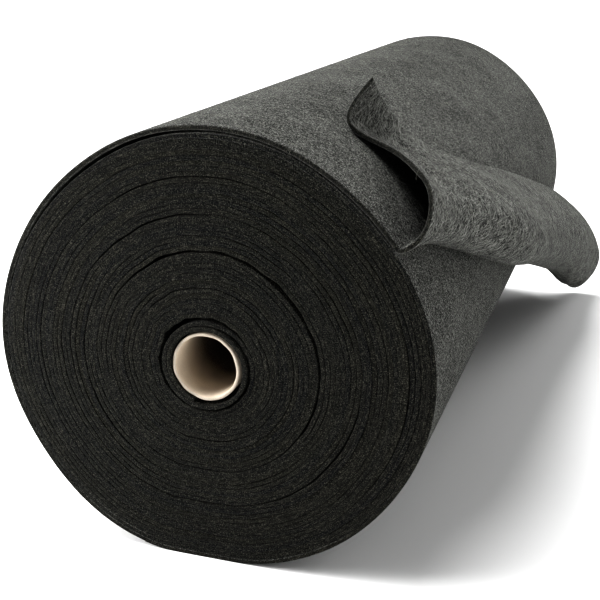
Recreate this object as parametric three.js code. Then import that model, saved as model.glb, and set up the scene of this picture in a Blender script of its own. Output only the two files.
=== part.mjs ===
// A roll of welding blanket: one long width of thick needled felt, wound on a cardboard core and
// lying on its side, with its loose end folded back on itself over the roll.
//
// Millimetres, +Z up. The roll's axis runs along Y, its front end face looks along -Y, and the
// origin is on the floor under the middle of the axis. An angle is measured about the axis, in
// degrees from +X towards +Z. The felt is wound with the angle growing smaller.

import * as THREE from "three";

// Driving sizes
const ROLL_WIDTH = 1220;
const AXIS_HEIGHT = 255;
const FELT_THICKNESS = 6;
const CORE_BORE_RADIUS = 38.1;
const CORE_WALL = 3.75;
const PIECE_GAP = 0.3;
const LAP_GAP = 1;

// The loose turn starts here, next to the flat spot that the roll's weight presses.
const LAP_ANGLE = 250;
const FULL_TURN = 360;
const TANGENT_ANGLE = 0.5;

// Fineness of the facets. Down to EVEN_ANGLE the loose turn has the facets of the wound felt, and
// from there LIE_STEPS reach the slanting line where it leaves the roll.
const TURN_STEP = 5;
const CORE_FACETS = 48;
const EVEN_ANGLE = 40;
const LIE_STEPS = 18;
const FREE_STEPS = 24;
const ACROSS_STEPS = 20;
const ACROSS_CROWDING = 1.5;

// Radius of the wound felt under the loose turn. The last turn ends one felt further out than it
// began, and the top and bottom are not quite round, as felt of this weight settles.
const ROLL_OUTLINE = [
  { angle: -110, radius: 265 },
  { angle: -90, radius: 259 },
  { angle: -70, radius: 259.5 },
  { angle: -50, radius: 261.5 },
  { angle: -30, radius: 264 },
  { angle: -15, radius: 268 },
  { angle: 0, radius: 271.5 },
  { angle: 20, radius: 272.5 },
  { angle: 36, radius: 271.5 },
  { angle: 55, radius: 272.5 },
  { angle: 75, radius: 275.5 },
  { angle: 90, radius: 274.5 },
  { angle: 105, radius: 271.5 },
  { angle: 120, radius: 266.3 },
  { angle: 140, radius: 263.5 },
  { angle: 160, radius: 264.5 },
  { angle: 180, radius: 266.5 },
  { angle: 195, radius: 264.5 },
  { angle: 210, radius: 261.2 },
  { angle: 225, radius: 261.3 },
  { angle: 240, radius: 261 },
  { angle: 250, radius: 258.5 },
];

// Air between the wound felt and the loose turn, which stands off most at the upper left.
const SLACK = [
  { angle: -40, gap: 0.8 },
  { angle: 36, gap: 0.8 },
  { angle: 80, gap: 0.8 },
  { angle: 100, gap: 1.5 },
  { angle: 125, gap: 3 },
  { angle: 150, gap: 2 },
  { angle: 200, gap: 0.9 },
  { angle: 250, gap: 0.7 },
];

// The loose end, one row for each section across the felt. "across" is the distance from the front
// selvage and "leave" the angle where the felt lifts off the roll. Each guide point on the felt's
// middle is [angle, lift above the wound felt, drift towards the back].
const GUIDES = ["swell", "bend", "brow", "crest", "fall", "dip", "edge"];
const FOLD = [
  {
    across: 0, leave: 36, swell: [35, 19, 0], bend: [36, 36, 12], brow: [40, 54, 37],
    crest: [46, 48, 87], fall: [56, 22, 150], dip: [66, 17, 171], edge: [65, 76, 172],
  },
  {
    across: 60, leave: 35, swell: [33, 18, 0], bend: [32, 36, 6], brow: [35, 51, 27],
    crest: [41, 42, 60], fall: [49, 27, 108], dip: [59, 18, 147], edge: [62, 46, 160],
  },
  {
    across: 130, leave: 33, swell: [28, 16, 0], bend: [27, 37, 1], brow: [29, 63, 16],
    crest: [35, 57, 48], fall: [41, 37, 84], dip: [49, 19, 121], edge: [55, 18, 147],
  },
  {
    across: 240, leave: 27, swell: [20, 17, 0], bend: [17, 46, 0], brow: [20, 77, 12],
    crest: [27, 69, 44], fall: [33, 48, 75], dip: [38, 27, 100], edge: [43, 13, 123],
  },
  {
    across: 400, leave: 18, swell: [11, 17, 0], bend: [8, 45, 0], brow: [10, 74, 9],
    crest: [16, 76, 32], fall: [22, 53, 65], dip: [27, 33, 90], edge: [32, 13, 113],
  },
  {
    across: 600, leave: 7, swell: [0, 17, 0], bend: [-3, 46, 0], brow: [-1, 73, 7],
    crest: [5, 80, 28], fall: [11, 61, 60], dip: [16, 37, 85], edge: [20, 14, 106],
  },
  {
    across: 850, leave: -3, swell: [-12, 19, 0], bend: [-17, 55, 0], brow: [-15, 93, 5],
    crest: [-8, 102, 24], fall: [-2, 80, 50], dip: [2, 49, 73], edge: [6, 21, 95],
  },
  {
    across: 1000, leave: -8, swell: [-19, 21, 0], bend: [-25, 62, 0], brow: [-26, 112, 3],
    crest: [-18, 127, 13], fall: [-12, 107, 32], dip: [-7, 77, 52], edge: [-4, 46, 75],
  },
  {
    across: 1220, leave: -12, swell: [-22, 20, 0], bend: [-31, 58, 0], brow: [-35, 102, 0],
    crest: [-36, 149, 5], fall: [-31, 160, 11], dip: [-24, 148, 18], edge: [-20, 121, 22],
  },
];

const FELT_BLACK = new THREE.MeshStandardMaterial({
  name: "felt", color: 0x3d3e3b, roughness: 0.95, metalness: 0,
});
const FELT_INSIDE = new THREE.MeshStandardMaterial({
  name: "felt_loose_end", color: 0x4a4b48, roughness: 0.95, metalness: 0,
});
const CARDBOARD = new THREE.MeshStandardMaterial({
  name: "cardboard", color: 0xbdae9d, roughness: 0.85, metalness: 0,
});

// A smooth curve through values given at rising places: a natural cubic spline, whose slope at the
// start is fixed where one is given.
function splineThrough(places, values, startSlope = null) {
  const last = places.length - 1;
  const span = (i) => places[i + 1] - places[i];
  const slope = (i) => (values[i + 1] - values[i]) / span(i);
  const clamped = startSlope !== null;
  const link = [clamped ? 0.5 : 0];
  const rest = [clamped ? (3 * (slope(0) - startSlope)) / span(0) : 0];
  for (let i = 1; i < last; i++) {
    const pivot = 2 * (span(i - 1) + span(i)) - span(i - 1) * link[i - 1];
    link.push(span(i) / pivot);
    rest.push((6 * (slope(i) - slope(i - 1)) - span(i - 1) * rest[i - 1]) / pivot);
  }
  const bending = new Array(last + 1).fill(0);
  for (let i = last - 1; i >= 0; i--) {
    bending[i] = rest[i] - link[i] * bending[i + 1];
  }
  return (place) => {
    const past = places.findIndex((p) => p > place);
    const i = past < 0 ? last - 1 : Math.max(past - 1, 0);
    const t = place - places[i];
    const first = slope(i) - (span(i) * (2 * bending[i] + bending[i + 1])) / 6;
    const third = (bending[i + 1] - bending[i]) / (6 * span(i));
    return values[i] + t * (first + t * (bending[i] / 2 + t * third));
  };
}

// A smooth curve through one column of a table, against another of its columns.
function tableCurve(rows, along, read) {
  return splineThrough(rows.map((row) => row[along]), rows.map(read));
}

const rollRadius = tableCurve(ROLL_OUTLINE, "angle", (row) => row.radius);
const slack = tableCurve(SLACK, "angle", (row) => row.gap);
const leaveAngle = tableCurve(FOLD, "across", (row) => row.leave);
const guideCurves = GUIDES.map((guide) => (
  [0, 1, 2].map((part) => tableCurve(FOLD, "across", (row) => row[guide][part]))
));

// A point at an angle and radius about the axis, and a distance back from the front end face.
function pointAt(angle, radius, back) {
  const turn = THREE.MathUtils.degToRad(angle);
  return new THREE.Vector3(
    radius * Math.cos(turn),
    back - ROLL_WIDTH / 2,
    AXIS_HEIGHT + radius * Math.sin(turn),
  );
}

// A point on the middle of the loose turn where it lies on the roll.
function lyingPoint(angle, across) {
  const radius = rollRadius(angle) + slack(angle) + FELT_THICKNESS / 2;
  return pointAt(angle, radius, across);
}

// The free part of one section, from where it leaves the roll (0) to the cut edge (1).
function freeCurve(across) {
  const leave = leaveAngle(across);
  const guides = guideCurves.map(([angle, lift, drift]) => {
    const toward = angle(across);
    return pointAt(toward, rollRadius(toward) + lift(across), across + drift(across));
  });
  const start = lyingPoint(leave, across);
  const points = [start, ...guides];
  const along = [0];
  for (let i = 1; i < points.length; i++) {
    along.push(along[i - 1] + points[i].distanceTo(points[i - 1]));
  }
  const direction = lyingPoint(leave - TANGENT_ANGLE, across).sub(start).normalize();
  const [x, y, z] = ["x", "y", "z"].map((axis) => (
    splineThrough(along, points.map((point) => point[axis]), direction[axis])
  ));
  const length = along[along.length - 1];
  return (part) => new THREE.Vector3(x(part * length), y(part * length), z(part * length));
}

// Points on the middle of the felt along one section, from the lap round the roll to the cut edge.
function sectionPoints(across) {
  const points = [];
  const lapStart = LAP_ANGLE - THREE.MathUtils.radToDeg(LAP_GAP / rollRadius(LAP_ANGLE));
  for (let angle = LAP_ANGLE; angle > EVEN_ANGLE; angle -= TURN_STEP) {
    points.push(lyingPoint(Math.min(angle, lapStart), across));
  }
  const leave = leaveAngle(across);
  for (let i = 0; i < LIE_STEPS; i++) {
    points.push(lyingPoint(THREE.MathUtils.lerp(EVEN_ANGLE, leave, i / LIE_STEPS), across));
  }
  const free = freeCurve(across);
  for (let i = 0; i <= FREE_STEPS; i++) {
    points.push(free(i / FREE_STEPS));
  }
  return points;
}

// The outward normals of a grid of points, by differences between neighbours.
function gridNormals(grid) {
  const rows = grid.length - 1;
  const columns = grid[0].length - 1;
  return grid.map((row, i) => row.map((_, j) => {
    const alongFelt = row[Math.min(j + 1, columns)].clone().sub(row[Math.max(j - 1, 0)]);
    const acrossFelt = grid[Math.min(i + 1, rows)][j].clone().sub(grid[Math.max(i - 1, 0)][j]);
    return alongFelt.cross(acrossFelt).normalize();
  }));
}

// A closed sheet of one thickness about a grid of points on its middle.
function sheetAbout(grid, thickness) {
  const rows = grid.length;
  const columns = grid[0].length;
  const normals = gridNormals(grid);
  const positions = [];
  for (const side of [1, -1]) {
    grid.forEach((row, i) => row.forEach((point, j) => {
      positions.push(...point.clone().addScaledVector(normals[i][j], (side * thickness) / 2));
    }));
  }
  const outer = (i, j) => i * columns + j;
  const inner = (i, j) => rows * columns + outer(i, j);
  const triangles = [];
  const addQuad = (a, b, c, d) => triangles.push(a, b, c, a, c, d);
  for (let i = 0; i < rows - 1; i++) {
    for (let j = 0; j < columns - 1; j++) {
      addQuad(outer(i, j), outer(i, j + 1), outer(i + 1, j + 1), outer(i + 1, j));
      addQuad(inner(i, j), inner(i + 1, j), inner(i + 1, j + 1), inner(i, j + 1));
    }
    addQuad(inner(i, 0), outer(i, 0), outer(i + 1, 0), inner(i + 1, 0));
    const j = columns - 1;
    addQuad(outer(i, j), inner(i, j), inner(i + 1, j), outer(i + 1, j));
  }
  for (let j = 0; j < columns - 1; j++) {
    addQuad(outer(0, j), inner(0, j), inner(0, j + 1), outer(0, j + 1));
    const i = rows - 1;
    addQuad(inner(i, j), outer(i, j), outer(i, j + 1), inner(i, j + 1));
  }
  const geometry = new THREE.BufferGeometry();
  geometry.setAttribute("position", new THREE.Float32BufferAttribute(positions, 3));
  geometry.setIndex(triangles);
  geometry.computeVertexNormals();
  return geometry;
}

// The wound felt: one thick spiral step in its outline, a flat spot underneath and a bore.
function woundRollGeometry() {
  const outline = new THREE.Shape();
  for (let angle = LAP_ANGLE - FULL_TURN; angle <= LAP_ANGLE; angle += TURN_STEP) {
    const turn = THREE.MathUtils.degToRad(angle);
    const x = rollRadius(angle) * Math.cos(turn);
    const z = Math.max(rollRadius(angle) * Math.sin(turn), -AXIS_HEIGHT);
    if (angle === LAP_ANGLE - FULL_TURN) {
      outline.moveTo(x, z);
    } else {
      outline.lineTo(x, z);
    }
  }
  outline.closePath();
  const bore = new THREE.Path();
  bore.absarc(0, 0, CORE_BORE_RADIUS + CORE_WALL + PIECE_GAP, 0, 2 * Math.PI);
  outline.holes.push(bore);
  const geometry = new THREE.ExtrudeGeometry(outline, {
    depth: ROLL_WIDTH,
    bevelEnabled: false,
    curveSegments: CORE_FACETS / 2,
  });
  geometry.rotateX(Math.PI / 2);
  geometry.translate(0, ROLL_WIDTH / 2, AXIS_HEIGHT);
  return geometry;
}

// The cardboard tube that the felt is wound on, cut flush with the end faces.
function coreGeometry() {
  const inner = CORE_BORE_RADIUS;
  const outer = CORE_BORE_RADIUS + CORE_WALL;
  const half = ROLL_WIDTH / 2;
  const wall = [[inner, -half], [outer, -half], [outer, half], [inner, half], [inner, -half]];
  const profile = wall.map(([radius, y]) => new THREE.Vector2(radius, y));
  const geometry = new THREE.LatheGeometry(profile, CORE_FACETS);
  geometry.translate(0, 0, AXIS_HEIGHT);
  return geometry;
}

// The loose turn and the folded end, closer sections towards the front corner, where it curls.
function looseEndGeometry() {
  const sections = [];
  for (let i = 0; i <= ACROSS_STEPS; i++) {
    sections.push(sectionPoints(ROLL_WIDTH * (i / ACROSS_STEPS) ** ACROSS_CROWDING));
  }
  return sheetAbout(sections, FELT_THICKNESS);
}

function piece(name, geometry, material) {
  const mesh = new THREE.Mesh(geometry, material);
  mesh.name = name;
  return mesh;
}

const weldingBlanketRoll = new THREE.Group();
weldingBlanketRoll.add(
  piece("wound_roll", woundRollGeometry(), FELT_BLACK),
  piece("loose_end", looseEndGeometry(), FELT_INSIDE),
  piece("core", coreGeometry(), CARDBOARD),
);

export default weldingBlanketRoll;
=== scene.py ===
"""The looks of a roll of welding blanket: thick needled felt wound on a cardboard core.

The roll lies on its side. Its axis runs along Y, its front end face looks along -Y, and the
front corner of its loose end is folded back over it. An angle is measured about the axis, in
degrees from +X towards +Z, and the felt is wound with the angle growing smaller. The tables of
the felt's shape are in millimetres, and everything that is made is in metres.
"""

from __future__ import annotations

import logging
import math
from collections.abc import Sequence
from dataclasses import dataclass
from enum import Enum
from typing import Any, ClassVar

import bpy
import numpy as np
from bpy.types import ID, Material, Mesh, Node, NodeOutputs, NodeTree, Object
from bpy.types import NodeSocket as Socket
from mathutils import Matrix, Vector

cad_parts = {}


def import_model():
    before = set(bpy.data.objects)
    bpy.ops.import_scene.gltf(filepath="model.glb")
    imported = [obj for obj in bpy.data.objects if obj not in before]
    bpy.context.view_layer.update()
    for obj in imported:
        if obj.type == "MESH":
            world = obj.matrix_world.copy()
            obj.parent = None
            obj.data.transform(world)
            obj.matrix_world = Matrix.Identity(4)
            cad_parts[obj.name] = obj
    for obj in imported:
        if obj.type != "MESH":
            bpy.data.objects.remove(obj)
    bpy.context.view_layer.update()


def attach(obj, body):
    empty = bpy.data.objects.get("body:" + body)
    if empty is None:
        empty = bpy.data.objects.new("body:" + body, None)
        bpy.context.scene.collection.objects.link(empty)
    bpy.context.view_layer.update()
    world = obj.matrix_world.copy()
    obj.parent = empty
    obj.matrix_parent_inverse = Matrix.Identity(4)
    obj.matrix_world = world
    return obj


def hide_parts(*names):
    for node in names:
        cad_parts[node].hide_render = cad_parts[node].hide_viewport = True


LOG = logging.getLogger("welding_blanket_roll")

MM = 0.001
FULL_TURN = 360.0
LAP_ANGLE = 250.0
HAIR_LAYERS = 5
HAIR_SPREAD = 84.0
HAIR_LEAN = 4.0
HAIR_START = 0.74
HAIR_SOFTNESS = 0.07
SPECKLE_START = 0.62
SPECKLE_SOFTNESS = 0.06
COVER_REACH = 0.24
COARSE_SHARE = 0.55
FINE_SHARE = 0.45
FINER = 2.6
SLOW_SCALE = 9.0
MIDDLE_OF_NOISE = (0.35, 0.65)

Point = tuple[float, float, float]
Range = tuple[float, float]


class Attribute(Enum):
    """The named values that the felt's vertices carry to its material."""

    FELT_AT = "felt_at"
    CUT = "cut"
    INSIDE = "inside"
    TURN = "turn"


# ----------------------------------------
# Shape of the felt
# ----------------------------------------


class Spline:
    """A natural cubic spline through rows of values, its start slope fixed where one is given."""

    def __init__(
        self,
        places: Sequence[float] | np.ndarray,
        values: Sequence[Any] | np.ndarray,
        start_slope: np.ndarray | None = None,
    ) -> None:
        """Solves the spline.

        Args:
            places: Where the values are given, rising.
            values: One value, or one row of values, for each place.
            start_slope: The slope at the first place. The spline starts straight without it.
        """
        self.places = np.asarray(places, float)
        rows = np.asarray(values, float)
        self.flat = rows.ndim == 1
        self.values = rows.reshape(len(self.places), -1)
        self.spans = np.diff(self.places)
        self.slopes = np.diff(self.values, axis=0) / self.spans[:, None]
        last = len(self.places) - 1
        system = np.eye(last + 1)
        target = np.zeros_like(self.values)
        if start_slope is not None:
            system[0, :2] = 2 * self.spans[0], self.spans[0]
            target[0] = 6 * (self.slopes[0] - start_slope)
        for i in range(1, last):
            before, after = self.spans[i - 1], self.spans[i]
            system[i, i - 1 : i + 2] = before, 2 * (before + after), after
            target[i] = 6 * (self.slopes[i] - self.slopes[i - 1])
        self.bending = np.linalg.solve(system, target)

    def __call__(self, at: float | np.ndarray) -> np.ndarray:
        """Gives the spline's values.

        Args:
            at: One place or an array of places.

        Returns:
            A value, or a row of values, for each place.
        """
        wanted = np.asarray(at, float)
        x = wanted.ravel()
        i = np.clip(np.searchsorted(self.places, x, side="right") - 1, 0, len(self.spans) - 1)
        t = (x - self.places[i])[:, None]
        span = self.spans[i][:, None]
        first = self.slopes[i] - span * (2 * self.bending[i] + self.bending[i + 1]) / 6
        third = (self.bending[i + 1] - self.bending[i]) / (6 * span)
        found = self.values[i] + t * (first + t * (self.bending[i] / 2 + t * third))
        return found.reshape(wanted.shape if self.flat else (*wanted.shape, -1))


@dataclass(frozen=True)
class FoldSection:
    """One section across the loose end, in millimetres and degrees.

    Each guide point on the felt's middle is (angle, lift above the wound felt, drift back).
    """

    across: float
    leave: float
    swell: Point
    bend: Point
    brow: Point
    crest: Point
    fall: Point
    dip: Point
    edge: Point

    def guides(self) -> list[Point]:
        """Gives the guide points from where the felt leaves the roll to its cut edge."""
        return [self.swell, self.bend, self.brow, self.crest, self.fall, self.dip, self.edge]


@dataclass(frozen=True)
class Groove:
    """A wider gap between two turns that shows on the end faces.

    Args:
        turn: The turn after which it opens.
        width: Its width in millimetres where it is widest, before it is made ragged.
        toward: The angle where it is widest.
        lobes: How many times it is widest in a turn.
        least: The share of its width that is left where it is narrowest.
    """

    turn: float
    width: float
    toward: float
    lobes: int
    least: float
    sharpness: ClassVar[float] = 1.5
    raggedness: ClassVar[float] = 0.15

    def widths(self, angles: np.ndarray) -> np.ndarray:
        """Gives the groove's width at each angle.

        Args:
            angles: Degrees about the axis.

        Returns:
            The widths in millimetres.
        """
        turn = np.radians(angles)
        swing = 0.5 + 0.5 * np.cos((turn - math.radians(self.toward)) * self.lobes)
        ragged = np.sin(5 * turn + self.turn) + np.sin(11 * turn + 2.3 * self.turn) + np.sin(23 * turn)
        share = self.least + (1 - self.least) * swing**self.sharpness
        return self.width * share * (1 + self.raggedness * ragged)


@dataclass(frozen=True)
class RollForm:
    """The form that the felt takes: the wound outline, the loose turn's slack and the fold.

    Args:
        lap_gap: How far the wound felt lies below the loose turn that covers it.
        covered: The angles between which the loose turn covers it.
        covered_fade: Over how many degrees that sets in at each end.
        lead_angle: The step that gives the direction in which the felt leaves the roll.
        floor_from: How far down, as a sine, the floor begins to flatten the roll.
    """

    width: float = 1220.0
    axis_height: float = 255.0
    felt: float = 6.0
    core_radius: float = 42.15
    floor_easing: float = 2.0
    turns: int = 38
    lap_gap: float = 1.5
    lap_waver: float = 0.3
    covered: Range = (30.0, 250.0)
    covered_fade: Range = (14.0, 30.0)
    lead_angle: float = 0.5
    floor_from: float = 0.5
    outline: tuple[tuple[float, float], ...] = (
        (-110, 265), (-90, 259), (-70, 259.5), (-50, 261.5), (-30, 264), (-15, 268),
        (0, 271.5), (20, 272.5), (36, 271.5), (55, 272.5), (75, 275.5), (90, 274.5),
        (105, 271.5), (120, 266.3), (140, 263.5), (160, 264.5), (180, 266.5), (195, 264.5),
        (210, 261.2), (225, 261.3), (240, 261), (250, 258.5),
    )
    slack: tuple[tuple[float, float], ...] = (
        (-40, 0.8), (36, 0.8), (80, 0.8), (100, 1.5), (125, 3), (150, 2), (200, 0.9), (250, 0.7),
    )
    fold: tuple[FoldSection, ...] = (
        FoldSection(
            0, 36, (35, 19, 0), (36, 36, 12), (40, 54, 37),
            (46, 48, 87), (56, 22, 150), (66, 17, 171), (65, 76, 172),
        ),
        FoldSection(
            60, 35, (33, 18, 0), (32, 36, 6), (35, 51, 27),
            (41, 42, 60), (49, 27, 108), (59, 18, 147), (62, 46, 160),
        ),
        FoldSection(
            130, 33, (28, 16, 0), (27, 37, 1), (29, 63, 16),
            (35, 57, 48), (41, 37, 84), (49, 19, 121), (55, 18, 147),
        ),
        FoldSection(
            240, 27, (20, 17, 0), (17, 46, 0), (20, 77, 12),
            (27, 69, 44), (33, 48, 75), (38, 27, 100), (43, 13, 123),
        ),
        FoldSection(
            400, 18, (11, 17, 0), (8, 45, 0), (10, 74, 9),
            (16, 76, 32), (22, 53, 65), (27, 33, 90), (32, 13, 113),
        ),
        FoldSection(
            600, 7, (0, 17, 0), (-3, 46, 0), (-1, 73, 7),
            (5, 80, 28), (11, 61, 60), (16, 37, 85), (20, 14, 106),
        ),
        FoldSection(
            850, -3, (-12, 19, 0), (-17, 55, 0), (-15, 93, 5),
            (-8, 102, 24), (-2, 80, 50), (2, 49, 73), (6, 21, 95),
        ),
        FoldSection(
            1000, -8, (-19, 21, 0), (-25, 62, 0), (-26, 112, 3),
            (-18, 127, 13), (-12, 107, 32), (-7, 77, 52), (-4, 46, 75),
        ),
        FoldSection(
            1220, -12, (-22, 20, 0), (-31, 58, 0), (-35, 102, 0),
            (-36, 149, 5), (-31, 160, 11), (-24, 148, 18), (-20, 121, 22),
        ),
    )
    grooves: tuple[Groove, ...] = (
        Groove(turn=2.4, width=5.2, toward=130, lobes=1, least=0.5),
        Groove(turn=9.1, width=1.2, toward=100, lobes=2, least=0.3),
        Groove(turn=16.1, width=3.8, toward=52, lobes=1, least=0.12),
        Groove(turn=19.2, width=0.9, toward=200, lobes=1, least=0.05),
        Groove(turn=22.8, width=1.2, toward=110, lobes=1, least=0.3),
        Groove(turn=24.3, width=1.5, toward=285, lobes=1, least=0.05),
        Groove(turn=29.4, width=1.0, toward=120, lobes=1, least=0.1),
        Groove(turn=33.5, width=0.9, toward=20, lobes=1, least=0.1),
    )

    def wound_radius(self, angles: float | np.ndarray) -> np.ndarray:
        """Gives the wound felt's radius at each angle, flat underneath.

        Args:
            angles: Degrees about the axis.

        Returns:
            The radii in millimetres.
        """
        places, radii = zip(*self.outline)
        free = Spline(places, radii)(angles)
        down = -np.sin(np.radians(angles))
        floor = self.axis_height / np.maximum(down, self.floor_from)
        eased = (free + floor - np.hypot(free - floor, self.floor_easing)) / 2
        return np.where(down > self.floor_from, eased, free)

    def sunk(self, angles: np.ndarray) -> np.ndarray:
        """Gives how far the wound felt lies below the loose turn that covers it.

        Args:
            angles: Degrees about the axis.

        Returns:
            The depths in millimetres.
        """
        starts = smooth_step((angles - self.covered[0]) / self.covered_fade[0])
        ends = smooth_step((self.covered[1] - angles) / self.covered_fade[1])
        uneven = 1 + self.lap_waver * np.sin(np.radians(angles * 4 + 20))
        return self.lap_gap * starts * ends * uneven

    def lying_radius(self, angles: float | np.ndarray) -> np.ndarray:
        """Gives the radius of the loose turn's middle where it lies on the roll."""
        places, gaps = zip(*self.slack)
        return self.wound_radius(angles) + Spline(places, gaps)(angles) + self.felt / 2

    def place(
        self, angles: float | np.ndarray, radii: float | np.ndarray, back: float | np.ndarray
    ) -> np.ndarray:
        """Turns angles, radii and distances back from the front face into points.

        Args:
            angles: Degrees about the axis.
            radii: Millimetres from the axis.
            back: Millimetres from the front end face.

        Returns:
            Points in metres, in a last axis of three.
        """
        turn = np.radians(angles)
        x = radii * np.cos(turn)
        z = self.axis_height + radii * np.sin(turn)
        y = back - self.width / 2 + np.zeros_like(x)
        return np.stack([x, y, z], axis=-1) * MM

    def free_curve(self, across: float) -> tuple[Spline, float, float]:
        """Gives the free part of one section of the loose end.

        Args:
            across: Millimetres from the front selvage.

        Returns:
            The curve against its length in metres, its length, and the angle where it starts.
        """
        rows = [section.across for section in self.fold]
        leave = float(Spline(rows, [section.leave for section in self.fold])(across))
        guides = Spline(rows, [np.ravel(section.guides()) for section in self.fold])(across)
        angle, lift, drift = guides.reshape(-1, 3).T
        start = self.place(leave, self.lying_radius(leave), across)
        next_angle = leave - self.lead_angle
        ahead = self.place(next_angle, self.lying_radius(next_angle), across) - start
        points = self.place(angle, self.wound_radius(angle) + lift, across + drift)
        points = np.vstack([start, points])
        chords = np.linalg.norm(np.diff(points, axis=0), axis=1)
        along = np.concatenate([[0.0], np.cumsum(chords)])
        return Spline(along, points, ahead / np.linalg.norm(ahead)), float(along[-1]), leave


FORM = RollForm()


def smooth_step(values: np.ndarray) -> np.ndarray:
    """Rises smoothly from 0 to 1 as the values go from 0 to 1."""
    held = np.clip(values, 0.0, 1.0)
    return held * held * (3 - 2 * held)


@dataclass(frozen=True)
class Waver:
    """A smooth uneven wave that does not repeat over the roll, mostly between -1 and 1.

    Args:
        seed: Chooses the wave.
        slowest: The lowest of its frequencies.
        count: How many sines are in it.
    """

    seed: int
    slowest: float
    count: int = 6
    step_ratio: ClassVar[float] = 1.47
    jitter: ClassVar[Range] = (0.9, 1.1)

    def __call__(self, at: np.ndarray) -> np.ndarray:
        """Gives the wave's height at each place.

        Args:
            at: The places, in the unit over which the frequencies count waves.

        Returns:
            The heights, without a unit.
        """
        draw = np.random.default_rng(self.seed)
        height = np.zeros_like(at)
        for step in range(self.count):
            frequency = self.slowest * self.step_ratio**step * draw.uniform(*self.jitter)
            height += np.sin(2 * math.pi * (frequency * at + draw.uniform())) / self.count**0.5
        return height


# ----------------------------------------
# Help with nodes and meshes
# ----------------------------------------


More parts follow.
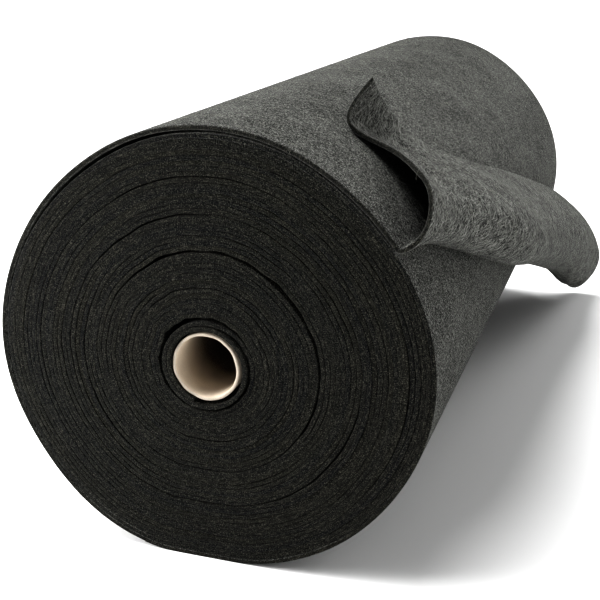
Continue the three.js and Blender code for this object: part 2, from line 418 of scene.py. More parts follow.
class NodeGraph:
    """Adds nodes to a tree, sets them and links them by plain calls."""

    def __init__(self, tree: NodeTree) -> None:
        """Keeps the tree.

        Args:
            tree: The tree that the nodes are added to.
        """
        self.tree = tree

    def add(
        self, kind: str, inputs: dict[int | str, Any] | None = None, **settings: Any
    ) -> Node:
        """Adds one node.

        Args:
            kind: The node's type name.
            inputs: A socket to link, or a value to set, for each input by name or number.
            **settings: The node's own settings.

        Returns:
            The new node.
        """
        node = self.tree.nodes.new(kind)
        for name, value in settings.items():
            setattr(node, name, value)
        self.feed(node, inputs or {})
        return node

    def feed(self, node: Node, inputs: dict[int | str, Any]) -> None:
        """Links or sets the inputs of a node.

        Args:
            node: The node.
            inputs: A socket to link, or a value to set, for each input by name or number.
        """
        for name, value in inputs.items():
            if isinstance(value, Socket):
                self.tree.links.new(value, node.inputs[name])
            else:
                node.inputs[name].default_value = value

    def bump(self, height: Socket, strength: float, distance: float) -> Socket:
        """Gives the normal of a bumped surface."""
        inputs = {"Height": height, "Strength": strength, "Distance": distance}
        return self.add("ShaderNodeBump", inputs).outputs[0]

    def named(self, name: str, kind: str = "FLOAT") -> Socket:
        """Reads a named attribute in a geometry tree."""
        inputs = {0: name}
        return self.add("GeometryNodeInputNamedAttribute", inputs, data_type=kind).outputs[0]

    def math(self, operation: str, *values: Any) -> Socket:
        """Adds a Math node and gives its result."""
        return self.add("ShaderNodeMath", dict(enumerate(values)), operation=operation).outputs[0]

    def times(self, first: Any, second: Any) -> Socket:
        """Multiplies two numbers."""
        return self.math("MULTIPLY", first, second)

    def plus(self, first: Any, second: Any) -> Socket:
        """Adds two numbers."""
        return self.math("ADD", first, second)

    def minus(self, first: Any, second: Any) -> Socket:
        """Takes the second number from the first."""
        return self.math("SUBTRACT", first, second)

    def vector(self, operation: str, *values: Any) -> Socket:
        """Adds a Vector Math node and gives its vector."""
        inputs = dict(enumerate(values))
        return self.add("ShaderNodeVectorMath", inputs, operation=operation).outputs[0]

    def scaled(self, vector: Any, factor: Any) -> Socket:
        """Gives a vector times a number."""
        inputs = {0: vector, "Scale": factor}
        return self.add("ShaderNodeVectorMath", inputs, operation="SCALE").outputs[0]

    def xyz(self, x: Any = 0.0, y: Any = 0.0, z: Any = 0.0) -> Socket:
        """Joins three numbers into a vector."""
        return self.add("ShaderNodeCombineXYZ", {0: x, 1: y, 2: z}).outputs[0]

    def rotated(self, vector: Any, angle: Any) -> Socket:
        """Gives a vector turned about Z by an angle in radians."""
        inputs = {"Vector": vector, "Axis": (0.0, 0.0, 1.0), "Angle": angle}
        return self.add("ShaderNodeVectorRotate", inputs).outputs[0]

    def blend(self, factor: Any, first: Any, second: Any) -> Socket:
        """Mixes two numbers and gives the result."""
        return self.add("ShaderNodeMix", {0: factor, 2: first, 3: second}).outputs[0]

    def attribute(self, attribute: Attribute, output: str = "Fac") -> Socket:
        """Reads one of the felt's attributes in a material."""
        return self.add("ShaderNodeAttribute", attribute_name=attribute.value).outputs[output]

    def dressed(self, source: Any, material: Any) -> Socket:
        """Makes instanced geometry real and gives it a material.

        Args:
            source: The geometry, or the socket that carries it.
            material: The material, or the socket that carries it.

        Returns:
            The socket with the dressed geometry.
        """
        real = self.add("GeometryNodeRealizeInstances", {0: source}).outputs[0]
        inputs = {"Geometry": real, "Material": material}
        return self.add("GeometryNodeSetMaterial", inputs).outputs[0]

    def group(self, tree: NodeTree, inputs: dict[int | str, Any]) -> Node:
        """Places a shader group with its own values.

        Args:
            tree: The group.
            inputs: A socket to link, or a value to set, for each named input.

        Returns:
            The group's node.
        """
        return self.add("ShaderNodeGroup", inputs, node_tree=tree)

    def mix(self, factor: Any, first: Any, second: Any) -> Socket:
        """Mixes two colours and gives the result."""
        inputs = {0: factor, 6: first, 7: second}
        return self.add("ShaderNodeMix", inputs, data_type="RGBA").outputs[2]

    def noise(
        self, place: Any, scale: Any, detail: float, roughness: float, distortion: float = 0.0
    ) -> Socket:
        """Adds a noise texture and gives its value.

        Args:
            place: The vector that it is read at.
            scale: How many of its cells there are in one unit.
            detail: How many finer layers it has.
            roughness: How strong the finer layers are.
            distortion: How much it is bent.

        Returns:
            The noise, about 0.5 on the whole.
        """
        inputs = {
            "Vector": place,
            "Scale": scale,
            "Detail": detail,
            "Roughness": roughness,
            "Distortion": distortion,
        }
        return self.add("ShaderNodeTexNoise", inputs).outputs["Fac"]

    def ranged(self, value: Any, low: Any, high: Any, to_low: Any, to_high: Any) -> Socket:
        """Maps a value from one range to another, held inside it."""
        inputs = {0: value, 1: low, 2: high, 3: to_low, 4: to_high}
        return self.add("ShaderNodeMapRange", inputs, clamp=True).outputs[0]


class SocketKind(Enum):
    """The kinds of socket that a node group's face is made of."""

    NUMBER = "NodeSocketFloat"
    VECTOR = "NodeSocketVector"
    GEOMETRY = "NodeSocketGeometry"
    MATERIAL = "NodeSocketMaterial"
    WHOLE = "NodeSocketInt"


def new_tree(
    name: str, kind: str, inputs: dict[str, SocketKind], outputs: dict[str, SocketKind]
) -> tuple[NodeGraph, NodeOutputs, Node]:
    """Starts a node group.

    Args:
        name: The group's name.
        kind: ShaderNodeTree or GeometryNodeTree.
        inputs: The kind of each named input.
        outputs: The kind of each named output.

    Returns:
        A graph on the tree, the sockets that bring its inputs, and its output node.
    """
    tree = bpy.data.node_groups.new(name, kind)
    for label, socket in inputs.items():
        tree.interface.new_socket(label, in_out="INPUT", socket_type=socket.value)
    for label, socket in outputs.items():
        tree.interface.new_socket(label, in_out="OUTPUT", socket_type=socket.value)
    graph = NodeGraph(tree)
    return graph, graph.add("NodeGroupInput").outputs, graph.add("NodeGroupOutput")


def new_material(name: str) -> tuple[Material, NodeGraph, Node]:
    """Starts a material.

    Args:
        name: The material's name.

    Returns:
        The material, a graph on its tree, and its shader.
    """
    material = bpy.data.materials.new(name)
    material.use_nodes = True
    graph = NodeGraph(material.node_tree)
    return material, graph, graph.tree.nodes["Principled BSDF"]


def placed(name: str, data: ID) -> Object:
    """Puts a mesh, a light or a camera in the scene, at the origin.

    Args:
        name: The new object's name.
        data: What it shows.

    Returns:
        The new object.
    """
    item = bpy.data.objects.new(name, data)
    bpy.context.scene.collection.objects.link(item)
    return item


def new_piece(name: str, mesh: Mesh) -> Object:
    """Puts a mesh in the scene as a smooth piece at the origin.

    Args:
        name: The piece's name.
        mesh: Its mesh, in metres.

    Returns:
        The new object.
    """
    mesh.shade_smooth()
    return placed(name, mesh)


def mesh_of(name: str, points: np.ndarray, faces: list[tuple[int, ...]]) -> Mesh:
    """Makes a mesh of points and faces.

    Args:
        name: The mesh's name.
        points: A row of three for each vertex.
        faces: The vertices of each face.

    Returns:
        The new mesh.
    """
    mesh = bpy.data.meshes.new(name)
    mesh.from_pydata(points.tolist(), [], faces)
    mesh.update()
    return mesh


def store(mesh: Mesh, attribute: Attribute | str, values: np.ndarray) -> None:
    """Stores one number or one vector at each vertex.

    Args:
        mesh: The mesh that carries them.
        attribute: Their name.
        values: One row for each vertex.
    """
    name = attribute.value if isinstance(attribute, Attribute) else attribute
    kind, key = ("FLOAT", "value") if values.ndim == 1 else ("FLOAT_VECTOR", "vector")
    layer = mesh.attributes.new(name, kind, "POINT")
    layer.data.foreach_set(key, np.ascontiguousarray(values, np.float32).ravel())


def applied(piece: Object, tree: NodeTree, values: dict[str, Any]) -> Mesh:
    """Runs a geometry tree on a piece and gives the result as a plain mesh.

    Args:
        piece: The object that the tree works on. It is removed.
        tree: The geometry tree.
        values: The value of each named input.

    Returns:
        The mesh that the tree makes.
    """
    modifier = piece.modifiers.new(tree.name, "NODES")
    modifier.node_group = tree
    for item in tree.interface.items_tree:
        if item.in_out == "INPUT" and item.name in values:
            modifier[item.identifier] = values[item.name]
    depsgraph = bpy.context.evaluated_depsgraph_get()
    mesh = bpy.data.meshes.new_from_object(piece.evaluated_get(depsgraph), depsgraph=depsgraph)
    source = piece.data
    bpy.data.objects.remove(piece)
    bpy.data.meshes.remove(source)
    return mesh


# ----------------------------------------
# Finishes
# ----------------------------------------


class Effects:
    """The shader groups that more than one material uses, each made once."""

    def __init__(self) -> None:
        """Builds the groups."""
        self.speckle = self._speckle()
        self.hairs = self._hairs()

    @staticmethod
    def _speckle() -> NodeTree:
        """Builds the fine salt and pepper of short fibres seen end on or matted.

        Returns:
            A group with the mask of the light fibres and a slow variation of tone.
        """
        graph, given, out = new_tree(
            "fibre_speckle",
            "ShaderNodeTree",
            {"Vector": SocketKind.VECTOR, "Fineness": SocketKind.NUMBER, "Cover": SocketKind.NUMBER},
            {"Mask": SocketKind.NUMBER, "Tone": SocketKind.NUMBER},
        )
        coarse = graph.noise(given["Vector"], given["Fineness"], detail=2.0, roughness=0.7)
        finer = graph.times(given["Fineness"], FINER)
        fine = graph.noise(given["Vector"], finer, detail=1.0, roughness=0.5)
        both = graph.plus(graph.times(coarse, COARSE_SHARE), graph.times(fine, FINE_SHARE))
        start = graph.minus(SPECKLE_START, graph.times(given["Cover"], COVER_REACH))
        mask = graph.ranged(both, start, graph.plus(start, SPECKLE_SOFTNESS), 0.0, 1.0)
        slow = graph.noise(given["Vector"], SLOW_SCALE, detail=4.0, roughness=0.5)
        graph.feed(out, {"Mask": mask, "Tone": slow})
        return graph.tree

    @staticmethod
    def _hairs() -> NodeTree:
        """Builds the single light hairs that lie in the felt, mostly along its length.

        Returns:
            A group with the mask of the light hairs.
        """
        graph, given, out = new_tree(
            "lying_hairs",
            "ShaderNodeTree",
            {
                "Vector": SocketKind.VECTOR,
                "Hair Width": SocketKind.NUMBER,
                "Hair Length": SocketKind.NUMBER,
                "Cover": SocketKind.NUMBER,
            },
            {"Mask": SocketKind.NUMBER},
        )
        fine = graph.math("DIVIDE", 1.0, given["Hair Width"])
        long = graph.math("DIVIDE", 1.0, given["Hair Length"])
        ratio = graph.xyz(fine, long, fine)
        start = graph.minus(HAIR_START, graph.times(given["Cover"], COVER_REACH))
        mask: Any = 0.0
        for layer in range(HAIR_LAYERS):
            angle = HAIR_SPREAD * (layer / (HAIR_LAYERS - 1) - 0.5) + HAIR_LEAN
            turned = graph.rotated(given["Vector"], math.radians(angle))
            moved = graph.vector("ADD", turned, (3.1 + layer, 7.7 - layer, 1.3 * layer))
            stretched = graph.vector("MULTIPLY", moved, ratio)
            hairs = graph.noise(stretched, 1.0, detail=1.0, roughness=0.5, distortion=0.15)
            lit = graph.ranged(hairs, start, graph.plus(start, HAIR_SOFTNESS), 0.0, 1.0)
            mask = graph.math("MAXIMUM", mask, lit)
        graph.feed(out, {"Mask": mask})
        return graph.tree


@dataclass(frozen=True)
class FeltFinish:
    """Black and grey needled felt, cut clean at its edges."""

    name: str = "needled_felt"
    dark: Point = (0.0105, 0.0108, 0.0100)
    light: Point = (0.320, 0.323, 0.300)
    cut_blue: Point = (0.0046, 0.0050, 0.0056)
    cut_olive: Point = (0.0078, 0.0078, 0.0066)
    cut_light: Point = (0.118, 0.115, 0.094)
    fineness: float = 430.0
    matted_cover: float = 0.43
    hair_width: float = 0.00062
    hair_length: float = 0.019
    hair_cover: float = 0.52
    tone_shift: Range = (-0.04, 0.05)
    fleck_weight: Range = (0.68, 0.40)
    strand_weight: Range = (0.30, 0.74)
    bump_depth: float = 0.0018
    layer_cells: Point = (650.0, 150.0, 1000.0)
    layer_range: Range = (0.54, 0.72)
    dot_cells: float = 800.0
    dot_range: Range = (0.60, 0.68)
    streak_share: float = 0.34
    dot_share: float = 0.68
    matted_share: float = 0.10
    turn_scale: float = 1.3

    def make(self, effects: Effects) -> Material:
        """Builds the material.

        Args:
            effects: The shared shader groups.

        Returns:
            The felt's material.
        """
        material, graph, shader = new_material(self.name)
        felt_at = graph.attribute(Attribute.FELT_AT, "Vector")
        cut = graph.attribute(Attribute.CUT)
        inside = graph.attribute(Attribute.INSIDE)
        speckle = graph.group(
            effects.speckle,
            {"Vector": felt_at, "Fineness": self.fineness, "Cover": self.matted_cover},
        )
        hairs = graph.group(
            effects.hairs,
            {
                "Vector": felt_at,
                "Hair Width": self.hair_width,
                "Hair Length": self.hair_length,
                "Cover": self.hair_cover,
            },
        ).outputs["Mask"]
        matted = speckle.outputs["Mask"]
        tone = graph.ranged(speckle.outputs["Tone"], *MIDDLE_OF_NOISE, *self.tone_shift)

        flecks = graph.times(matted, graph.ranged(inside, 0, 1, *self.fleck_weight))
        strands = graph.times(hairs, graph.ranged(inside, 0, 1, *self.strand_weight))
        cover = graph.plus(graph.plus(flecks, strands), tone)
        face = graph.mix(cover, (*self.dark, 1), (*self.light, 1))
        end, end_cover = self._cut_colour(graph, felt_at, matted)
        height = graph.blend(cut, cover, end_cover)
        looks = {
            "Base Color": graph.mix(cut, face, end),
            "Normal": graph.bump(height, 0.6, self.bump_depth),
            "Roughness": 0.95,
            "Specular IOR Level": 0.04,
            "Sheen Weight": 0.03,
            "Sheen Roughness": 0.5,
        }
        graph.feed(shader, looks)
        return material

    def _cut_colour(
        self, graph: NodeGraph, felt_at: Socket, matted: Socket
    ) -> tuple[Socket, Socket]:
        """Colours the cut edges, whose layers show as short streaks along the felt.

        Args:
            graph: The material's graph.
            felt_at: The place in the felt.
            matted: The mask of the light flecks.

        Returns:
            The colour, and the share of light fibres in it.
        """
        turn = graph.attribute(Attribute.TURN)
        layered = graph.vector("MULTIPLY", felt_at, self.layer_cells)
        layers = graph.noise(layered, 1.0, detail=2.0, roughness=0.65)
        streaks = graph.ranged(layers, *self.layer_range, 0.0, 1.0)
        grains = graph.noise(felt_at, self.dot_cells, detail=1.0, roughness=0.5)
        dots = graph.ranged(grains, *self.dot_range, 0.0, 1.0)
        light = graph.plus(
            graph.times(streaks, self.streak_share), graph.times(dots, self.dot_share)
        )
        light = graph.plus(light, graph.times(matted, self.matted_share))
        per_turn = graph.add(
            "ShaderNodeTexNoise",
            {"W": turn, "Scale": self.turn_scale, "Detail": 3.0},
            noise_dimensions="1D",
        ).outputs["Fac"]
        tint = graph.ranged(per_turn, *MIDDLE_OF_NOISE, 0.0, 1.0)
        ground = graph.mix(tint, (*self.cut_blue, 1), (*self.cut_olive, 1))
        return graph.mix(light, ground, (*self.cut_light, 1)), light


@dataclass(frozen=True)
class FibreFinish:
    """Pale to dark grey-olive stray fibres."""

    name: str = "stray_fibre"
    pale: Point = (0.32, 0.32, 0.275)
    deep: Point = (0.10, 0.10, 0.085)
    patch_scale: float = 70.0

    def make(self) -> Material:
        """Builds the fibres' material.

        Returns:
            The material.
        """
        material, graph, shader = new_material(self.name)
        place = graph.add("ShaderNodeTexCoord").outputs["Object"]
        patches = graph.noise(place, self.patch_scale, detail=2.0, roughness=0.6)
        paleness = graph.ranged(patches, *MIDDLE_OF_NOISE, 0.0, 1.0)
        colour = graph.mix(paleness, (*self.deep, 1), (*self.pale, 1))
        graph.feed(shader, {"Base Color": colour, "Roughness": 0.7})
        return material


@dataclass(frozen=True)
class CardboardFinish:
    """Grey-brown board wound from strips, paler on its cut ends, and darkened by painted shade further
    into the bore.
    """

    name: str = "core_board"
    # Painted shade: the darker board colour used deep inside the bore, standing in for its shadow.
    deep: Point = (0.070, 0.052, 0.035)
    board: Point = (0.53, 0.455, 0.365)
    pale: Point = (0.35, 0.31, 0.26)
    # Painted shade: between these distances from the tube's middle, in metres, the painted bore shade
    # gives way to the board colour towards each end.
    bore_shade_span: Range = (0.535, 0.590)
    fineness: float = 700.0
    fibre_share: float = 0.3
    cut_share: float = 0.75
    # Painted shade: how much the slow tone makes the edge of the painted bore shade uneven.
    bore_shade_waver: float = 0.02
    bump_depth: float = 0.0004

    def make(self, effects: Effects) -> Material:
        """Builds the material.

        Args:
            effects: The shared shader groups.

        Returns:
            The cardboard's material.
        """
        material, graph, shader = new_material(self.name)
        place = graph.add("ShaderNodeTexCoord").outputs["Object"]
        speckle = graph.group(
            effects.speckle, {"Vector": place, "Fineness": self.fineness, "Cover": 0.5}
        )
        cut = graph.attribute(Attribute.CUT)
        fibres = graph.times(speckle.outputs["Mask"], self.fibre_share)
        # Painted shade: the board is darkened towards the deep colour more than about 20 mm in from
        # either end, standing in for the shadow inside the bore.
        along = graph.math("ABSOLUTE", graph.add("ShaderNodeSeparateXYZ", {0: place}).outputs[1])
        shade_depth = graph.plus(along, graph.times(speckle.outputs["Tone"], self.bore_shade_waver))
        unshaded_share = graph.ranged(shade_depth, *self.bore_shade_span, 0.0, 1.0)
        wall = graph.mix(unshaded_share, (*self.deep, 1), (*self.board, 1))
        amount = graph.plus(graph.times(cut, self.cut_share), fibres)
        colour = graph.mix(amount, wall, (*self.pale, 1))
        normal = graph.bump(speckle.outputs["Mask"], 0.25, self.bump_depth)
        graph.feed(shader, {"Base Color": colour, "Normal": normal, "Roughness": 0.85})
        return material


# ----------------------------------------
# The roll's pieces
# ----------------------------------------


@dataclass
class WoundFelt:
    """The turns of felt between the core and the loose turn, swept as one spiral strip."""

    form: RollForm = FORM
    name: str = "felt_turns"
    steps_per_turn: int = 160
    profile_points: int = 12
    hairline: Range = (0.05, 0.65)
    edge_round: Range = (0.3, 1.3)
    end_unevenness: float = 0.3
    ring_turns: float = 2.4
    ring_stands_out: float = 2.5
    ring_fade: float = 0.2
    back_ring_share: float = 0.4
    gap_wave: Waver = Waver(5, 1.9, 7)
    gap_level: float = 0.35
    round_wave: Waver = Waver(7, 1.2, 7)
    round_level: Range = (0.45, 0.6)
    waviness: float = 0.35
    groove_fade: float = 0.3
    deep_power: float = 0.4
    cut_share: Range = (0.1, 0.45)

    def spiral(self) -> tuple[np.ndarray, np.ndarray, np.ndarray, np.ndarray]:
        """Works out the strip's middle line.

        Returns:
            The turn number, the angle, the radius of the strip's middle and the strip's
            thickness at each step, in turns, degrees and millimetres.
        """
        form = self.form
        count = (form.turns - 1) * self.steps_per_turn + 1
        turn = np.linspace(1, form.turns, count)
        angle = LAP_ANGLE - FULL_TURN * (turn % 1.0)
        angle[-1] = LAP_ANGLE - FULL_TURN
        last = form.turns - 1 + (LAP_ANGLE - angle) / FULL_TURN
        room = form.wound_radius(angle) - form.core_radius - form.sunk(angle)
        opened = np.zeros_like(turn)
        total = np.zeros_like(turn)
        for groove in form.grooves:
            width = groove.widths(angle)
            total += width
            opened += width * smooth_step((turn - groove.turn) / self.groove_fade)
        pitch = (room - total) / last
        inward = turn / form.turns
        bearing = np.radians(angle)
        wave = np.sin(bearing * 3 + 1.1 * turn) + np.sin(bearing * 5 - 0.8 * turn)
        drift = self.waviness * wave * np.sin(math.pi * inward)
        outer = form.core_radius + pitch * turn + opened + drift
        around = 2 * math.pi * turn * (form.core_radius + pitch * turn / 2) * MM
        least, most = self.hairline
        hairline = least + (most - least) * smooth_step(self.gap_wave(around) - self.gap_level)
        thickness = pitch - hairline
        return turn, angle, outer - thickness / 2, thickness

    def path(self) -> Mesh:
        """Makes the strip's middle line as a chain of edges that carries the strip's values.

        Returns:
            The chain, one vertex for each step.
        """
        turn, angle, radius, thickness = self.spiral()
        middle = self.form.place(angle, radius, self.form.width / 2)
        ahead = np.gradient(middle, axis=0)
        outward = np.cross(ahead, (0.0, 1.0, 0.0))
        outward /= np.linalg.norm(outward, axis=1)[:, None]
        outward *= np.sign((outward * (middle - (0, 0, self.form.axis_height * MM))).sum(1))[:, None]
        run = np.concatenate([[0.0], np.cumsum(np.linalg.norm(np.diff(middle, axis=0), axis=1))])
        ring = self.ring_stands_out * (1 - smooth_step((turn - self.ring_turns) / self.ring_fade))
        least, most = self.edge_round
        level, share = self.round_level
        rounding = least + (most - least) * smooth_step(level + share * self.round_wave(run))
        mesh = bpy.data.meshes.new("felt_path")
        edges = [(i, i + 1) for i in range(len(middle) - 1)]
        mesh.from_pydata(middle.tolist(), edges, [])
        store(mesh, "path_at", middle)
        store(mesh, "outward", outward)
        store(mesh, "thickness", thickness * MM)
        store(mesh, "edge_round", rounding * MM)
        ends = (("front_out", 11, 1.0), ("back_out", 12, self.back_ring_share))
        for name, seed, share in ends:
            uneven = Waver(seed, 0.37)(turn) + 0.5 * Waver(seed + 10, 0.9)(run)
            store(mesh, name, (self.end_unevenness * uneven + ring * share) * MM)
        store(mesh, "run", run)
        store(mesh, Attribute.TURN, turn)
        return mesh

    def sweep_tree(self) -> NodeTree:
        """Builds the tree that sweeps a round-edged strip along a path.

        Returns:
            The geometry tree.
        """
        graph, given, out = new_tree(
            "felt_strip",
            "GeometryNodeTree",
            {
                "Geometry": SocketKind.GEOMETRY,
                "Half Width": SocketKind.NUMBER,
                "Profile Points": SocketKind.WHOLE,
                "Turns": SocketKind.NUMBER,
                "Material": SocketKind.MATERIAL,
            },
            {"Geometry": SocketKind.GEOMETRY},
        )

        def stored(source: Any, name: str, kind: str, value: Any) -> Socket:
            """Stores a named attribute at each point."""
            inputs = {"Geometry": source, "Name": name, "Value": value}
            return graph.add("GeometryNodeStoreNamedAttribute", inputs, data_type=kind).outputs[0]

        ring = graph.add("GeometryNodeMeshCircle", {"Vertices": given["Profile Points"], "Radius": 1.0})
        half_step = graph.math("DIVIDE", math.pi, given["Profile Points"])
        turned = graph.rotated(graph.add("GeometryNodeInputPosition").outputs[0], half_step)
        profile = stored(ring.outputs[0], "profile_at", "FLOAT_VECTOR", turned)
        profile = graph.add("GeometryNodeMeshToCurve", {0: profile}).outputs[0]
        rail = graph.add("GeometryNodeMeshToCurve", {0: given["Geometry"]}).outputs[0]
        strip = graph.add(
            "GeometryNodeCurveToMesh", {"Curve": rail, "Profile Curve": profile, "Fill Caps": True}
        ).outputs[0]

        around = graph.add("ShaderNodeSeparateXYZ", {0: graph.named("profile_at", "FLOAT_VECTOR")})
        side = graph.math("SIGN", around.outputs[1])
        reach = graph.math("POWER", graph.math("ABSOLUTE", around.outputs[1]), 0.5)
        deep = graph.math(
            "MULTIPLY",
            graph.math("SIGN", around.outputs[0]),
            graph.math("POWER", graph.math("ABSOLUTE", around.outputs[0]), self.deep_power),
        )
        rounding = graph.named("edge_round")
        inset = graph.times(graph.minus(1.0, reach), rounding)
        at_back = graph.ranged(side, -1, 1, 0, 1)
        stands = graph.blend(at_back, graph.named("front_out"), graph.named("back_out"))
        end = graph.minus(graph.plus(given["Half Width"], stands), inset)
        depth = graph.times(graph.times(deep, 0.5), graph.named("thickness"))
        across = graph.times(side, end)
        offset = graph.xyz(y=across)
        flat = graph.vector("MULTIPLY", graph.named("path_at", "FLOAT_VECTOR"), (1.0, 0.0, 1.0))
        sunk = graph.vector("ADD", flat, graph.scaled(graph.named("outward", "FLOAT_VECTOR"), depth))
        place = graph.vector("ADD", sunk, offset)
        moved = graph.add("GeometryNodeSetPosition", {"Geometry": strip, "Position": place}).outputs[0]
        felt_at = graph.xyz(across, graph.named("run"), depth)
        moved = stored(moved, Attribute.FELT_AT.value, "FLOAT_VECTOR", felt_at)
        share = graph.math("DIVIDE", inset, rounding)
        seen = graph.minus(given["Turns"], 1.0)
        buried = graph.math("LESS_THAN", graph.named(Attribute.TURN.value), seen)
        cut = graph.math("MAXIMUM", buried, graph.ranged(share, *self.cut_share, 1.0, 0.0))
        moved = stored(moved, Attribute.CUT.value, "FLOAT", cut)
        moved = stored(moved, Attribute.INSIDE.value, "FLOAT", 0.0)
        graph.feed(out, {0: graph.dressed(moved, given["Material"])})
        return graph.tree

    def build(self, material: Material) -> Object:
        """Makes the wound felt.

        Args:
            material: The felt's material.

        Returns:
            The piece.
        """
        rail = placed("felt_path", self.path())
        values = {
            "Half Width": self.form.width / 2 * MM,
            "Profile Points": self.profile_points,
            "Turns": float(self.form.turns),
            "Material": material,
        }
        mesh = applied(rail, self.sweep_tree(), values)
        mesh.name = self.name
        kept = {item.value for item in Attribute}
        passing = [a.name for a in mesh.attributes if a.domain == "POINT" and not a.is_internal]
        for name in passing:
            if name not in kept and name != "position":
                mesh.attributes.remove(mesh.attributes[name])
        piece = new_piece(self.name, mesh)
        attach(piece, "root")
        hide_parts("wound_roll")
        return piece


@dataclass
class LooseEnd:
    """The outermost turn and its folded free end, as one sheet of felt."""

    form: RollForm = FORM
    name: str = "felt_loose_end"
    lying_steps: int = 230
    free_steps: int = 110
    across_steps: int = 100
    crowding: float = 1.35
    edge_round: float = 2.4
    edge_rows: tuple[float, ...] = (0.0, 0.25, 0.8, 1.6)
    flat_length: float = 1.58
    flat_area: float = 1.774
    edge_power: float = 2.5
    cut_reach: float = 0.8
    felt_offset: float = 40.0
    shows: ClassVar[str] = "shows"

    def section(self, across: float) -> np.ndarray:
        """Gives the points of one section, from the lap round the roll to the cut edge.

        Args:
            across: Millimetres from the front selvage.

        Returns:
            Points in metres.
        """
        form = self.form
        curve, length, leave = form.free_curve(across)
        span = LAP_ANGLE - leave
        lie = LAP_ANGLE - span * np.arange(self.lying_steps) / self.lying_steps
        lying = form.place(lie, form.lying_radius(lie), across)
        rows = np.array(self.edge_rows) * MM
        even = np.linspace(0, length - self.edge_round * MM, self.free_steps)
        along = np.concatenate([even, length - rows[::-1]])
        return np.vstack([lying, curve(along)])

    def middle(self) -> tuple[np.ndarray, np.ndarray]:
        """Gives the grid of points on the felt's middle.

        Returns:
            The points, a row for each section, and each section's distance from the front
            selvage in millimetres.
        """
        width = self.form.width
        rows = np.array(self.edge_rows)
        inner = np.linspace(0, 1, self.across_steps) ** self.crowding
        even = self.edge_round + (width - 2 * self.edge_round) * inner
        across = np.concatenate([rows, even, width - rows[::-1]])
        return np.array([self.section(a) for a in across]), across

    def build(self, material: Material) -> Object:
        """Makes the sheet.

        Args:
            material: The felt's material.

        Returns:
            The piece.
        """
        grid, across = self.middle()
        rows, columns, _ = grid.shape
        along_felt = np.gradient(grid, axis=1)
        across_felt = np.gradient(grid, across * MM, axis=0)
        normals = np.cross(along_felt, across_felt)
        normals /= np.linalg.norm(normals, axis=2)[:, :, None]
        steps = np.linalg.norm(np.diff(grid, axis=1), axis=2)
        run = np.concatenate([np.zeros((rows, 1)), np.cumsum(steps, axis=1)], axis=1)
        from_edge = np.minimum(
            np.minimum(across, self.form.width - across)[:, None] * MM, run[:, -1:] - run
        )
        share = np.clip(from_edge / (self.edge_round * MM), 0, 1)
        half = self.form.felt / 2 * MM * np.sqrt(1 - (1 - share) ** self.edge_power)
        offsets = normals * half[:, :, None]
        points = np.concatenate([(grid + offsets).reshape(-1, 3), (grid - offsets).reshape(-1, 3)])

        index = np.arange(rows * columns).reshape(rows, columns)
        outer, inner = index, index + rows * columns
        shared = share <= 0
        inner = np.where(shared, outer, inner)
        faces = []
        for a, flip in ((outer, False), (inner, True)):
            quad = np.stack([a[:-1, :-1], a[:-1, 1:], a[1:, 1:], a[1:, :-1]], axis=-1).reshape(-1, 4)
            faces.append(quad[:, ::-1] if flip else quad)
        lap = np.stack([inner[:-1, 0], outer[:-1, 0], outer[1:, 0], inner[1:, 0]], axis=-1)
        faces.append(lap)
        face_list = [tuple(dict.fromkeys(face)) for face in np.concatenate(faces).tolist()]
        used = np.unique(np.concatenate([np.array(f) for f in face_list]))
        renumber = np.full(len(points), -1)
        renumber[used] = np.arange(len(used))
        face_list = [tuple(renumber[list(face)].tolist()) for face in face_list]
        mesh = mesh_of(self.name, points[used], face_list)

        side = np.concatenate([np.zeros(rows * columns), np.ones(rows * columns)])
        both = np.concatenate([share.ravel(), share.ravel()])
        depth = np.concatenate([half.ravel(), -half.ravel()])
        felt_at = np.stack(
            [
                np.tile(np.repeat((across - self.form.width / 2) * MM, columns), 2),
                np.tile(run.ravel() + self.felt_offset, 2),
                depth,
            ],
            axis=-1,
        )
        store(mesh, Attribute.FELT_AT, felt_at[used])
        store(mesh, Attribute.CUT, (1 - smooth_step(both / self.cut_reach))[used])
        store(mesh, Attribute.INSIDE, side[used])
        store(mesh, Attribute.TURN, np.full(len(used), self.form.turns + 0.5))
        free = np.tile(np.arange(columns) >= columns - self.free_steps - len(self.edge_rows), rows)
        store(mesh, self.shows, np.concatenate([np.ones(rows * columns), free])[used])
        mesh.materials.append(material)
        piece = new_piece(self.name, mesh)
        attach(piece, "root")
        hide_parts("loose_end")
        return piece


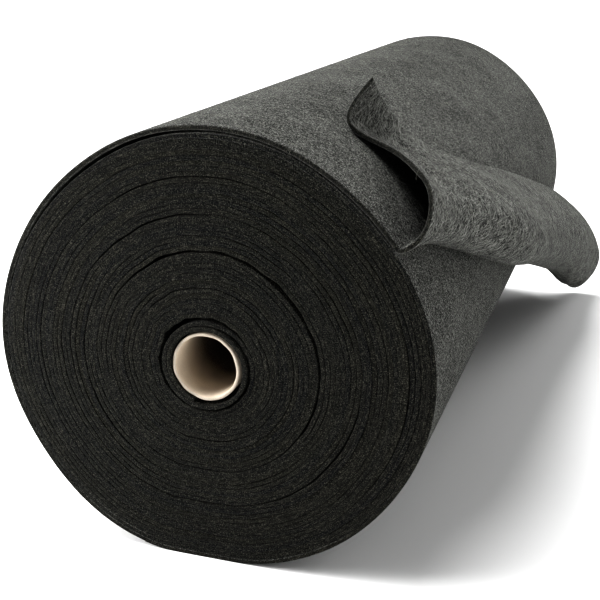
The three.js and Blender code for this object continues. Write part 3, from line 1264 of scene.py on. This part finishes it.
@dataclass
class StrayFibres:
    """Loose fibres that lie on the outer turn and its folded end.

    Args:
        bend: The points that bend a fibre of length 1.
        pitch: How far a fibre is raised or lowered at most, in radians.
        roll: How far it is rolled at most, in radians.
        turn: How far it is turned on the felt at most, in radians, nearly a full circle.
        shortest: The smallest share of the length that a fibre has.
        longest: The largest share.
    """

    name: str = "felt_stray_fibres"
    per_square_metre: float = 1500.0
    length: float = 0.012
    radius: float = 0.00011
    seed: int = 4
    bend: tuple[Point, ...] = ((-0.5, 0.0, 0.0), (0.05, 0.34, 0.09), (0.5, -0.06, 0.0))
    pitch: float = 0.1
    roll: float = 0.04
    turn: float = 6.283
    shortest: float = 0.45
    longest: float = 1.35

    def tree(self) -> NodeTree:
        """Builds the tree that strews bent fibres over a surface.

        Returns:
            The geometry tree.
        """
        graph, given, out = new_tree(
            "strewn_fibres",
            "GeometryNodeTree",
            {
                "Geometry": SocketKind.GEOMETRY,
                "Density": SocketKind.NUMBER,
                "Fibre Length": SocketKind.NUMBER,
                "Fibre Radius": SocketKind.NUMBER,
                "Seed": SocketKind.WHOLE,
                "Material": SocketKind.MATERIAL,
            },
            {"Geometry": SocketKind.GEOMETRY},
        )

        def drawn(low: float, high: float, step: int) -> Socket:
            """Draws a random number for each fibre."""
            inputs = {2: low, 3: high, "Seed": graph.plus(given["Seed"], step)}
            return graph.add("FunctionNodeRandomValue", inputs, data_type="FLOAT").outputs[1]

        bend = graph.add(
            "GeometryNodeCurveQuadraticBezier",
            {0: 4, 1: self.bend[0], 2: self.bend[1], 3: self.bend[2]},
        ).outputs[0]
        rail = graph.add(
            "GeometryNodeTransform", {"Geometry": bend, "Scale": graph.xyz(*[given["Fibre Length"]] * 3)}
        ).outputs[0]
        ring = graph.add("GeometryNodeCurvePrimitiveCircle", {0: 3, "Radius": given["Fibre Radius"]})
        fibre = graph.add("GeometryNodeCurveToMesh", {0: rail, 1: ring.outputs[0], "Fill Caps": True})
        shows = graph.named(LooseEnd.shows)
        points = graph.add(
            "GeometryNodeDistributePointsOnFaces",
            {
                "Mesh": given["Geometry"],
                "Density": graph.times(shows, given["Density"]),
                "Seed": given["Seed"],
            },
        )
        lean = graph.xyz(
            drawn(-self.pitch, self.pitch, 1), drawn(-self.roll, self.roll, 2), drawn(0, self.turn, 3)
        )
        leaning = graph.add("FunctionNodeEulerToRotation", {0: lean}).outputs[0]
        turned = graph.add(
            "FunctionNodeRotateRotation",
            {0: points.outputs["Rotation"], 1: leaning},
            rotation_space="LOCAL",
        ).outputs[0]
        strewn = graph.add(
            "GeometryNodeInstanceOnPoints",
            {
                "Points": points.outputs["Points"],
                "Instance": fibre.outputs[0],
                "Rotation": turned,
                "Scale": graph.xyz(*[drawn(self.shortest, self.longest, 4)] * 3),
            },
        ).outputs[0]
        graph.feed(out, {0: graph.dressed(strewn, given["Material"])})
        return graph.tree

    def build(self, host: Object, material: Material) -> Object:
        """Makes the fibres.

        Args:
            host: The piece that they lie on. Its mark for where they show is removed.
            material: The fibres' material.

        Returns:
            The piece.
        """
        ground = placed("fibre_ground", host.data.copy())
        values = {
            "Density": self.per_square_metre,
            "Fibre Length": self.length,
            "Fibre Radius": self.radius,
            "Seed": self.seed,
            "Material": material,
        }
        mesh = applied(ground, self.tree(), values)
        mesh.name = self.name
        host.data.attributes.remove(host.data.attributes[LooseEnd.shows])
        piece = new_piece(self.name, mesh)
        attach(piece, "root")
        return piece


@dataclass
class CardboardCore:
    """The spiral-wound cardboard tube in the middle of the roll."""

    form: RollForm = FORM
    name: str = "core_tube"
    bore_radius: float = 38.1
    wall: float = 3.75
    around: int = 144
    edge_round: float = 0.5
    seam_pitch: float = 110.0
    seam_depth: float = 0.25
    seam_width: float = 1.2
    cut_waver: float = 0.8
    cut_bulge: float = 0.15
    steps_inside: int = 160
    tolerance: ClassVar[float] = 0.01

    def build(self, material: Material) -> Object:
        """Makes the tube.

        Args:
            material: The cardboard's material.

        Returns:
            The piece.
        """
        half = self.form.width / 2
        inner, outer, soft = self.bore_radius, self.bore_radius + self.wall, self.edge_round
        inside = np.linspace(-half + soft, half - soft, self.steps_inside)
        profile = [(inner, y, 0.0) for y in inside]
        rim = [
            (inner + soft, half, 1.0),
            ((inner + outer) / 2, half + self.cut_bulge, 1.0),
            (outer - soft, half, 1.0),
            (outer, half - soft, 0.3),
        ]
        profile += rim + [(radius, -back, cut) for radius, back, cut in reversed(rim)]
        radii, along, cut = (np.array(column) for column in zip(*profile))
        angle = np.arange(self.around) * FULL_TURN / self.around
        radius = np.tile(radii, (self.around, 1))
        back = np.tile(along, (self.around, 1))
        phase = (back / self.seam_pitch - angle[:, None] / FULL_TURN) % 1.0
        seam = np.exp(-(((phase - 0.5) * self.seam_pitch / self.seam_width) ** 2))
        radius += self.seam_depth * seam * (np.abs(radii - inner) < self.tolerance)
        waver = self.cut_waver * np.sin(np.radians(angle * 3 + 40)) * np.sin(np.radians(angle * 7))
        back += waver[:, None] * (np.abs(along) > half - soft - self.tolerance) * np.sign(along)
        points = self.form.place(angle[:, None], radius, back + half).reshape(-1, 3)
        count = len(profile)
        faces = []
        for i in range(self.around):
            for j in range(count):
                i2, j2 = (i + 1) % self.around, (j + 1) % count
                faces.append((i * count + j, i2 * count + j, i2 * count + j2, i * count + j2))
        mesh = mesh_of(self.name, points, faces)
        store(mesh, Attribute.CUT, np.tile(cut, self.around))
        mesh.materials.append(material)
        piece = new_piece(self.name, mesh)
        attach(piece, "root")
        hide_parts("core")
        return piece


# ----------------------------------------
# Studio
# ----------------------------------------


@dataclass(frozen=True)
class SoftBox:
    """One soft area light that looks at the roll."""

    name: str
    place: Point
    size: float
    watts: float


@dataclass
class Studio:
    """A pale floor, soft light and the camera."""

    camera_at: Point = (0.467, -1.658, 0.722)
    camera_toward: Point = (-0.3013, 0.8985, -0.3191)
    lens: float = 63.6
    sensor: float = 36.0
    clip_end: float = 200.0
    floor_reach: float = 40.0
    floor_tone: float = 0.80
    target: Point = (0.0, 0.0, 0.25)
    boxes: tuple[SoftBox, ...] = (
        SoftBox("right_back_box", (2.4, 2.4, 2.2), 2.0, 46.0),
        SoftBox("left_front_box", (-1.25, -1.05, 0.65), 0.8, 33.0),
        SoftBox("right_front_box", (2.8, -1.4, 0.9), 0.8, 12.0),
    )
    sun_from: Point = (-0.9, 0.2, 2.6)
    sun_angle: float = 50.0
    sun_strength: float = 4.3
    air_strength: float = 0.25

    def build(self) -> None:
        """Makes the floor, the lights, the surroundings and the camera."""
        square = np.array([(-1, -1, 0), (1, -1, 0), (1, 1, 0), (-1, 1, 0)], float)
        mesh = mesh_of("studio_floor", square * self.floor_reach, [(0, 1, 2, 3)])
        floor = new_piece("studio_floor", mesh)
        pale, graph, shader = new_material("pale_floor")
        tone = self.floor_tone
        looks = {"Base Color": (tone, tone, tone, 1), "Roughness": 0.9, "Specular IOR Level": 0.1}
        graph.feed(shader, looks)
        floor.data.materials.append(pale)

        world = bpy.data.worlds.new("studio_air")
        world.use_nodes = True
        graph = NodeGraph(world.node_tree)
        white = (1.0, 1.0, 1.0, 1.0)
        air = world.node_tree.nodes["Background"]
        graph.feed(air, {"Color": white, "Strength": self.air_strength})
        backdrop = graph.add("ShaderNodeBackground", {"Color": white, "Strength": 1.0})
        seen = graph.add("ShaderNodeLightPath").outputs["Is Camera Ray"]
        both = graph.add("ShaderNodeMixShader", {0: seen, 1: air.outputs[0], 2: backdrop.outputs[0]})
        graph.feed(world.node_tree.nodes["World Output"], {"Surface": both.outputs[0]})
        bpy.context.scene.world = world

        for box in self.boxes:
            light = bpy.data.lights.new(box.name, "AREA")
            light.size = box.size
            light.energy = box.watts
            lamp = placed(box.name, light)
            lamp.location = box.place
            lamp.visible_camera = False
            toward = Vector(self.target) - Vector(box.place)
            lamp.rotation_euler = toward.to_track_quat("-Z", "Y").to_euler()

        sun = bpy.data.lights.new("broad_sun", "SUN")
        sun.energy = self.sun_strength
        sun.angle = math.radians(self.sun_angle)
        lamp = placed("broad_sun", sun)
        lamp.location = self.sun_from
        lamp.rotation_euler = Vector(self.sun_from).to_track_quat("Z", "Y").to_euler()

        camera = bpy.data.cameras.new("studio_camera")
        camera.lens = self.lens
        camera.sensor_width = self.sensor
        camera.clip_end = self.clip_end
        holder = placed("studio_camera", camera)
        holder.location = self.camera_at
        holder.rotation_euler = Vector(self.camera_toward).to_track_quat("-Z", "Y").to_euler()
        bpy.context.scene.camera = holder
        bpy.context.scene.view_settings.view_transform = "Standard"
        bpy.context.scene.view_settings.look = "High Contrast"


def main() -> None:
    """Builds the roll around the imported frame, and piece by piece."""
    logging.basicConfig(level=logging.INFO, format="%(name)s: %(message)s")
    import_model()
    effects = Effects()
    felt = FeltFinish().make(effects)
    board = CardboardFinish().make(effects)
    loose_end = LooseEnd().build(felt)
    pieces = (
        WoundFelt().build(felt),
        loose_end,
        StrayFibres().build(loose_end, FibreFinish().make()),
        CardboardCore().build(board),
    )
    for piece in pieces:
        LOG.info("%s: %d faces", piece.name, len(piece.data.polygons))
    Studio().build()


if __name__ == "__main__":
    main()
